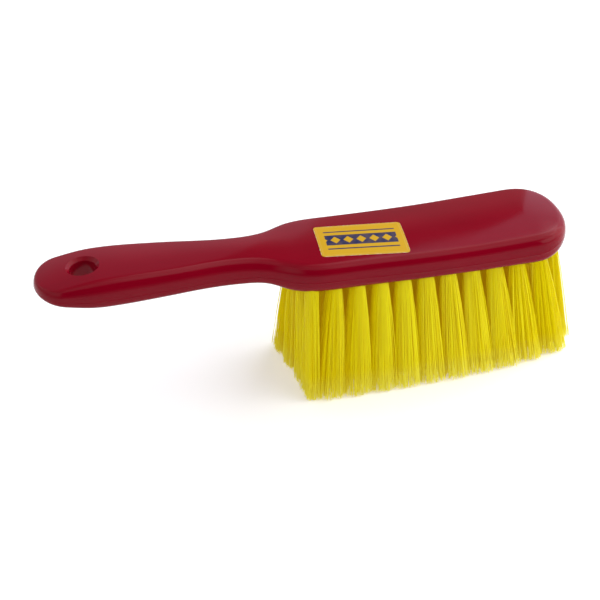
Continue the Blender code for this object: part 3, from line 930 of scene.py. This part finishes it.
yellow_filament, tree, shader = new_material("yellow_filament")
along = wire(tree, "ShaderNodeAttribute", attribute_name="along").outputs["Fac"]
tone = wire(tree, "ShaderNodeAttribute", attribute_name="tone").outputs["Fac"]
body_colour = blend_colours(tone, YELLOW, WARM_YELLOW)
near_tip = remap(along, WORN_FROM, WORN_FULLY, 0, 1)
frayed = maths("MULTIPLY", near_tip, remap(tone, 0, 1, 1, LEAST_WORN))
streaks = noise(tree, scale=1500, detail=1, stretch=(1, 1, 0.1))
feed(shader, {
    "Base Color": blend_colours(frayed, body_colour, PALE_TIP),
    "Normal": relief(streaks, strength=0.1),
    "Roughness": 0.42,
    "IOR": 1.49,
    "Specular IOR Level": 0.15,
    # Painted glow: a weak warm emission in place of the light that passes through the filaments
    "Emission Color": PAINTED_GLOW_COLOUR,
    "Emission Strength": 0.045,
})
print(f"{yellow_filament.name} turns paler over the last quarter of a filament")

# %% Grow the rows
def tuft_points(name, row):
    """A mesh with one point for each tuft, which carries the tuft's measurements."""
    mesh = bpy.data.meshes.new(name)
    mesh.from_pydata([tuft["fold"] for tuft in row], [], [])
    for key in ("fold", "tips", "half_size", "mouth_share", "twist"):
        field = "value" if key in NUMBERS else "vector"
        values = np.array([tuft[key] for tuft in row]).ravel()
        mesh.attributes.new(key, data_type(key), "POINT").data.foreach_set(field, values)
    return mesh


def grow(name, row, tree, seed):
    """One row of tufts as a plain mesh."""
    piece = new_object(name, tuft_points(name, row))
    modifier = piece.modifiers.new("Grow bristles", "NODES")
    modifier.node_group = tree
    sockets = [item for item in tree.interface.items_tree if item.in_out == "INPUT"]
    identifiers = {socket.name: socket.identifier for socket in sockets}
    modifier[identifiers["Seed"]] = seed
    modifier[identifiers["Material"]] = yellow_filament
    settled(piece)
    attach(piece, "root")
    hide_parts(*[tuft["name"] for tuft in row])
    return piece


HEEL_TUCK = (0.47, 0.76)
HEEL_TUCK_FROM_SIDE = (-0.008, 0.023)
NOSE_EDGE = 0.1100
NOSE_REACH = 1.08
TUFT_OVERLAP = 0.0009
TRIM_SHARES = (
    (-0.0075, 0.925), (0.0035, 1.0), (0.0175, 1.03), (0.0455, 1.04), (0.0735, 1.01), (0.0880, 0.98),
    (0.1020, 0.935), (0.1170, 0.85), (0.1330, 0.73), (0.1420, 0.69),
)
TWIST_SEED = 11
SEEDS_A_ROW = 10


def trimmed_place(x, y):
    """Where trimming leaves a place along the brush. The heel is tucked in and the nose runs on."""
    tuck = np.interp(y, HEEL_TUCK_FROM_SIDE, HEEL_TUCK)
    heel = HEEL_EDGE + (x - HEEL_EDGE) * tuck
    nose = NOSE_EDGE + (x - NOSE_EDGE) * NOSE_REACH
    return heel if x < HEEL_EDGE else nose if x > NOSE_EDGE else x


def trim(tuft, brush_start, brush_end):
    """Fits the tips of a tuft into the outline that the brush was trimmed to."""
    (x, y, _), (half_x, half_y, _) = tuft["tips"], tuft["half_size"]
    start = max(x - half_x - TUFT_OVERLAP, brush_start)
    end = min(x + half_x + TUFT_OVERLAP, brush_end)
    start, end = trimmed_place(start, y), trimmed_place(end, y)
    share = np.interp((start + end) / 2, *zip(*TRIM_SHARES))
    tuft["tips"] = np.array(((start + end) / 2, y * share, 0))
    tuft["half_size"] = np.array(((end - start) / 2, half_y * share, 0))


random = np.random.default_rng(TWIST_SEED)
brush_start = min(tuft["tips"][0] - tuft["half_size"][0] for tuft in tufts)
brush_end = max(tuft["tips"][0] + tuft["half_size"][0] for tuft in tufts)
for tuft in tufts:
    trim(tuft, brush_start, brush_end)
    tuft["mouth_share"] = (tuft["fold"][2] - tuft["mouth"][2]) / (tuft["fold"][2] - tuft["tips"][2])
    tuft["twist"] = random.uniform(0, 2 * math.pi)
rows_of_tufts = {}
for tuft in tufts:
    rows_of_tufts.setdefault(tuft["name"].rsplit("_", 1)[0].removeprefix("tuft_"), []).append(tuft)
tree = bristle_tree()
for seed, (row_name, row) in enumerate(sorted(rows_of_tufts.items())):
    piece = grow(f"bristles_{row_name}", row, tree, seed * SEEDS_A_ROW + 1)
    triangles = sum(len(polygon.vertices) - 2 for polygon in piece.data.polygons)
    print(f"{piece.name}: {len(row)} tufts, {triangles} triangles")

# %% [markdown]
# ## Sticker
#
# A printed vinyl sticker lies on the top of the head, a little askew, as a hand put it there. It is
# far thinner than the solid that stands for it, so it is laid straight on the moulded face and
# follows the crown. Its corners are rounded by letting each row of points end on the corner's arc.
# A flat map goes along with the mesh, in sticker lengths, and the print is drawn on that map.

# %% Lay the sticker on the head
STICKER_LENGTH = 0.0462
STICKER_WIDTH = 0.0280
STICKER_CORNER_RADIUS = 0.0020
STICKER_THICKNESS = 0.00015
STICKER_BITE = 0.00003
STICKER_PLACE = (HANDLE_LENGTH + 0.0381, -0.0051)
STICKER_TURN = math.radians(-6.4)
STICKER_STEP = 0.0010
CORNER_STEPS = 6


def sticker_rows():
    """(distance across, half length) of each row of points. The rows crowd in at the corners."""
    radius, half = STICKER_CORNER_RADIUS, STICKER_WIDTH / 2
    angle = np.linspace(math.pi / 2, 0, CORNER_STEPS + 1)
    across = half - radius * (1 - np.sin(angle))
    length = STICKER_LENGTH / 2 - radius * (1 - np.cos(angle))
    middle = np.linspace(half - radius, 0, int((half - radius) / STICKER_STEP))[1:]
    across = np.concatenate((across, middle))
    length = np.concatenate((length, np.full(len(middle), STICKER_LENGTH / 2)))
    return np.column_stack((np.append(across, -across[-2::-1]), np.append(length, length[-2::-1])))


def sticker_mesh():
    """The sticker as one sheet on the face, with its own flat map."""
    rows = sticker_rows()
    along = np.linspace(-1, 1, int(STICKER_LENGTH / STICKER_STEP) + 1)
    flat = np.stack((rows[:, 1:] * along, np.repeat(rows[:, :1], len(along), axis=1)), axis=-1)
    cos, sin = math.cos(STICKER_TURN), math.sin(STICKER_TURN)
    plan = flat @ np.array(((cos, sin), (-sin, cos))) + STICKER_PLACE
    bm = bmesh.new()
    add_grid(bm, raised(plan, face_top(plan) - STICKER_BITE))
    bm.verts.index_update()
    flat_map = bm.loops.layers.uv.new("sticker_map")
    corners = flat.reshape(-1, 2) / STICKER_LENGTH + 0.5
    for face in bm.faces:
        for loop in face.loops:
            loop[flat_map].uv = corners[loop.vert.index]
    return finished_mesh(bm, "sticker")


sticker = new_object("sticker", sticker_mesh())
if sticker.data.polygons[0].normal.z < 0:
    sticker.data.flip_normals()
skin = sticker.modifiers.new("Thickness", "SOLIDIFY")
skin.thickness = STICKER_THICKNESS
skin.offset = 1
settled(sticker)
shade_round(sticker)
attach(sticker, "root")
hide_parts("label")
print(f"{sticker.name} has {len(sticker.data.polygons)} faces")

# %% [markdown]
# ## The print
#
# The print is plain trade decoration in two inks: dark blue on golden yellow. It is drawn with
# distances on the flat map. A shape is wherever a distance is under a limit, with an edge as soft
# as ink on vinyl, so the pattern stays sharp at any size and needs no picture.

# %% Print the sticker
GOLD = (0.625, 0.352, 0.004, 1)
# Painted highlight: the lighter gold of the line just inside the sticker's edge, where the cut edge
# catches light
EDGE_HIGHLIGHT_GOLD = (0.64, 0.385, 0.03, 1)
DARK_BLUE = (0.016, 0.020, 0.085, 1)
VINYL_EDGE = (0.85, 0.80, 0.66, 1)
INK_SOFTNESS = 0.00012
BAND_HALF_WIDTH = 0.0046
BAND_HALF_LENGTH = 0.0188
RULE_FROM_MIDDLE = 0.0078
RULE_HALF_WIDTH = 0.0005
LOZENGE_PITCH = 0.0068
LOZENGE_HALF_LENGTH = 0.0026
LOZENGE_HALF_WIDTH = 0.0031
EDGE_HIGHLIGHT_INSET = 0.0011
EDGE_HIGHLIGHT_HALF_WIDTH = 0.00035
WEAR_RAGGEDNESS = 0.0006
WEAR_REACH = 0.00035
VINYL_ROUGHNESS = (0.34, 0.46)
INK_STRENGTH = (0.9, 1.0)


def below(distance, limit):
    """1 where the distance is under the limit, 0 beyond it, with a soft edge."""
    return remap(distance, limit - INK_SOFTNESS, limit + INK_SOFTNESS, 1, 0)


def inked(lengthwise, along, across):
    """1 where there is dark ink: a band pierced by a row of lozenges, between two rules."""
    within_length = below(along, BAND_HALF_LENGTH)
    band = maths("MULTIPLY", below(across, BAND_HALF_WIDTH), within_length)
    phase = maths("PINGPONG", lengthwise, LOZENGE_PITCH / 2)
    stretched = maths("MULTIPLY", across, LOZENGE_HALF_LENGTH / LOZENGE_HALF_WIDTH)
    lozenge = below(maths("ADD", phase, stretched), LOZENGE_HALF_LENGTH)
    from_rule = maths("ABSOLUTE", maths("SUBTRACT", across, RULE_FROM_MIDDLE))
    rule = maths("MULTIPLY", below(from_rule, RULE_HALF_WIDTH), within_length)
    pierced = maths("MULTIPLY", band, maths("SUBTRACT", 1.0, lozenge))
    return maths("MAXIMUM", pierced, rule)


def print_sticker():
    """The sticker's material."""
    material, tree, shader = new_material("printed_vinyl")
    flat = wire(tree, "ShaderNodeUVMap", uv_map="sticker_map").outputs[0]
    centred = vector_maths("SUBTRACT", flat, (0.5, 0.5, 0))
    in_metres = vector_maths("SCALE", centred, STICKER_LENGTH)
    metres = wire(tree, "ShaderNodeSeparateXYZ", {0: in_metres}).outputs
    along, across = (maths("ABSOLUTE", metres[i]) for i in range(2))

    to_end = maths("SUBTRACT", STICKER_LENGTH / 2, along)
    to_side = maths("SUBTRACT", STICKER_WIDTH / 2, across)
    to_edge = maths("MINIMUM", to_end, to_side)
    # A lighter line just inside the edge: a painted highlight of the cut edge catching light, not
    # ink
    from_line = maths("ABSOLUTE", maths("SUBTRACT", to_edge, EDGE_HIGHLIGHT_INSET))
    painted_edge_highlight = below(from_line, EDGE_HIGHLIGHT_HALF_WIDTH)
    rough = noise(tree, scale=600, detail=3)
    ragged = maths("MULTIPLY_ADD", rough, WEAR_RAGGEDNESS, to_edge)
    worn = below(ragged, WEAR_REACH)

    patchy = patches(tree, INK_STRENGTH, scale=260, detail=4)
    ink = maths("MULTIPLY", inked(metres[0], along, across), patchy)
    gold = blend_colours(painted_edge_highlight, GOLD, EDGE_HIGHLIGHT_GOLD)
    printed = blend_colours(ink, gold, DARK_BLUE)
    ripple = noise(tree, scale=450, detail=3)
    feed(shader, {
        "Base Color": blend_colours(worn, printed, VINYL_EDGE),
        "Roughness": patches(tree, VINYL_ROUGHNESS, scale=90, detail=4),
        "Normal": relief(ripple, strength=0.15, distance=0.00005),
        "IOR": 1.48,
        "Specular IOR Level": 0.2,
    })
    return material


paint(sticker, print_sticker())
print(f"{sticker.name} is printed in two inks")

# %% [markdown]
# ## The studio
#
# A glossy object is lit by what it mirrors, so the studio is built as the photographer's was: large
# diffusers all round, drawn straight onto the sky, with dark gaps between them. Two panels stand
# close behind the brush, because their edges show in the gloss: a dim one behind the handle, and a
# brighter one behind the nose, both a little cooler than the rest. Two more stand to the right of
# the brush and in front of it, and give the bristles their shape.

# %% Hang the diffusers on the sky
BACKDROP = 0.92
PATCH_SOFTNESS = 0.07
ALL_ROUND = 180
# Each has a name, the sines of its lowest and highest elevation, its direction and half angle in
# degrees (0 is straight behind the brush, 90 is to its right), and its strength.
SKY_PATCHES = (
    ("overhead", 0.90, 2.0, 0, ALL_ROUND, 0.30),
    ("top left", 0.62, 0.95, -75, 42, 0.50),
    ("top right", 0.62, 0.95, 75, 42, 2.60),
    ("top front left", 0.62, 0.95, -135, 20, 0.50),
    ("top front right", 0.62, 0.95, 135, 20, 1.95),
    ("top front", 0.62, 0.97, 180, 27, 0.82),
    ("high front left", 0.38, 0.66, -125, 28, 0.86),
    ("high front right", 0.38, 0.66, 120, 24, 1.08),
    ("high left", 0.38, 0.66, -70, 30, 0.80),
    ("high right", 0.38, 0.66, 70, 30, 0.68),
    ("high back", 0.50, 0.86, 0, 50, 0.16),
    ("low front left", 0.04, 0.40, -125, 28, 0.92),
    ("low front right", 0.04, 0.40, 120, 26, 0.88),
    ("low right", 0.0, 0.50, 75, 24, 0.44),
    ("low left", 0.0, 0.50, -70, 24, 0.66),
    ("low back", 0.0, 0.50, 0, 48, 0.38),
)


def soft_step(value, at):
    """0 under the limit and 1 over it, with a soft edge."""
    return remap(value, at - PATCH_SOFTNESS, at + PATCH_SOFTNESS, 0, 1)


def patch_light(tree, low, high, azimuth, half_angle, strength):
    """The light of one diffuser, seen from the middle of the studio."""
    direction = wire(tree, "ShaderNodeTexCoord").outputs["Generated"]
    across, away, up = wire(tree, "ShaderNodeSeparateXYZ", {0: direction}).outputs
    band = maths("SUBTRACT", soft_step(up, low), soft_step(up, high))
    if half_angle < ALL_ROUND:
        heading = maths("ARCTAN2", across, away)
        turned = maths("SUBTRACT", heading, math.radians(azimuth))
        side = soft_step(maths("COSINE", turned), math.cos(math.radians(half_angle)))
        band = maths("MULTIPLY", band, side)
    return maths("MULTIPLY", band, strength)


world = bpy.data.worlds.new("studio")
bpy.context.scene.world = world
world.use_nodes = True
tree = world.node_tree
total = 0.0
for name, *patch in SKY_PATCHES:
    total = maths("ADD", total, patch_light(tree, *patch))
seen = wire(tree, "ShaderNodeLightPath").outputs["Is Camera Ray"]
sky = result("ShaderNodeMix", {0: seen, 2: total, 3: BACKDROP})
feed(tree.nodes["Background"], {"Color": (1, 1, 1, 1), "Strength": sky})
print(f"{len(SKY_PATCHES)} diffusers on the sky")

# %% Stand the panels
WHITE = (1, 1, 1)
COOL = (0.97, 1.0, 1.30)
# Each has a name, its middle, a point that it faces, its width and height, the radiance that the
# gloss mirrors, and a tint.
PANELS = (
    ("panel_behind_handle", (-0.265, 0.60, 0.70), (-0.265, 0, 0.70), 0.88, 1.10, 0.30, COOL),
    ("panel_behind_nose", (0.786, 0.52, 0.60), (0.316, 0, 0.40), 0.85, 1.10, 0.82, COOL),
    ("panel_right", (0.95, -0.05, 0.40), (0, 0, 0.10), 0.70, 0.80, 1.55, WHITE),
    ("panel_front_right", (0.90, -0.80, 0.35), (0, 0, 0.04), 0.80, 0.60, 1.62, WHITE),
)
for name, middle, facing, width, height, radiance, tint in PANELS:
    light = bpy.data.lights.new(name, "AREA")
    light.shape = "RECTANGLE"
    light.size, light.size_y = width, height
    light.energy = radiance * math.pi * width * height
    light.color = tint
    panel = new_object(name, light)
    panel.matrix_world = aimed("-Z", Vector(facing) - Vector(middle), middle)
print(f"{len(PANELS)} panels beside and behind the brush")

# %% [markdown]
# ## The floor
#
# The photograph's background is pure white, so the floor is paper with a light under it, which
# leaves only a faint shadow. The camera sees more of that light than the brush does. Towards the
# photographer the floor's colour is painted darker, a painted shade for the dark side of the studio
# that the gloss of the stock mirrors.

# %% Floor
FLOOR_SIZE = 4
FLOOR_COLOUR = 0.88
FLOOR_GLOW = 0.15
FLOOR_GLOW_SEEN = 0.15
FLOOR_SHADE = 0.12
SHADE_START = -0.22
SHADE_END = -0.60
FIBRE_GREYS = (0.985, 1.0)

bm = bmesh.new()
bmesh.ops.create_grid(bm, x_segments=1, y_segments=1, size=FLOOR_SIZE)
floor = new_object("floor", finished_mesh(bm, "floor"))
paper, tree, shader = new_material("floor_paper")
object_place = wire(tree, "ShaderNodeTexCoord").outputs["Object"]
away = result("ShaderNodeSeparateXYZ", {0: object_place}, "Y")
# Painted shade: the floor's colour darkens towards the camera, for the dark studio side that the
# gloss mirrors
shade_steps = (SHADE_END, SHADE_START, FLOOR_COLOUR * FLOOR_SHADE, FLOOR_COLOUR)
painted_floor_shade = remap(away, *shade_steps, interpolation_type="SMOOTHSTEP")
fibres = patches(tree, FIBRE_GREYS, scale=700, detail=3, contrast=(0.3, 0.7))
shade = maths("MULTIPLY", painted_floor_shade, fibres)
seen = wire(tree, "ShaderNodeLightPath").outputs["Is Camera Ray"]
feed(shader, {
    "Base Color": result("ShaderNodeCombineColor", {0: shade, 1: shade, 2: shade}),
    "Emission Color": (1, 1, 1, 1),
    "Emission Strength": maths("MULTIPLY_ADD", seen, FLOOR_GLOW_SEEN, FLOOR_GLOW),
    "Roughness": 0.8,
    "Specular IOR Level": 0.2,
})
paint(floor, paper)
bpy.context.scene.view_settings.view_transform = "Standard"
print(f"floor {2 * FLOOR_SIZE} m square")

# %% [markdown]
# ## Light between the bristles
#
# Light that gets into a bundle of pale filaments is passed on from one to the next many times
# before it comes out. Each time it loses more blue than yellow, so the gaps between real tufts are
# amber and not black. With only a few bounces they would turn dark.

# %% Let the light bounce
MOST_BOUNCES = 16
MOST_DIFFUSE_BOUNCES = 12

bpy.context.scene.cycles.max_bounces = MOST_BOUNCES
bpy.context.scene.cycles.diffuse_bounces = MOST_DIFFUSE_BOUNCES
print(f"up to {MOST_DIFFUSE_BOUNCES} diffuse bounces")
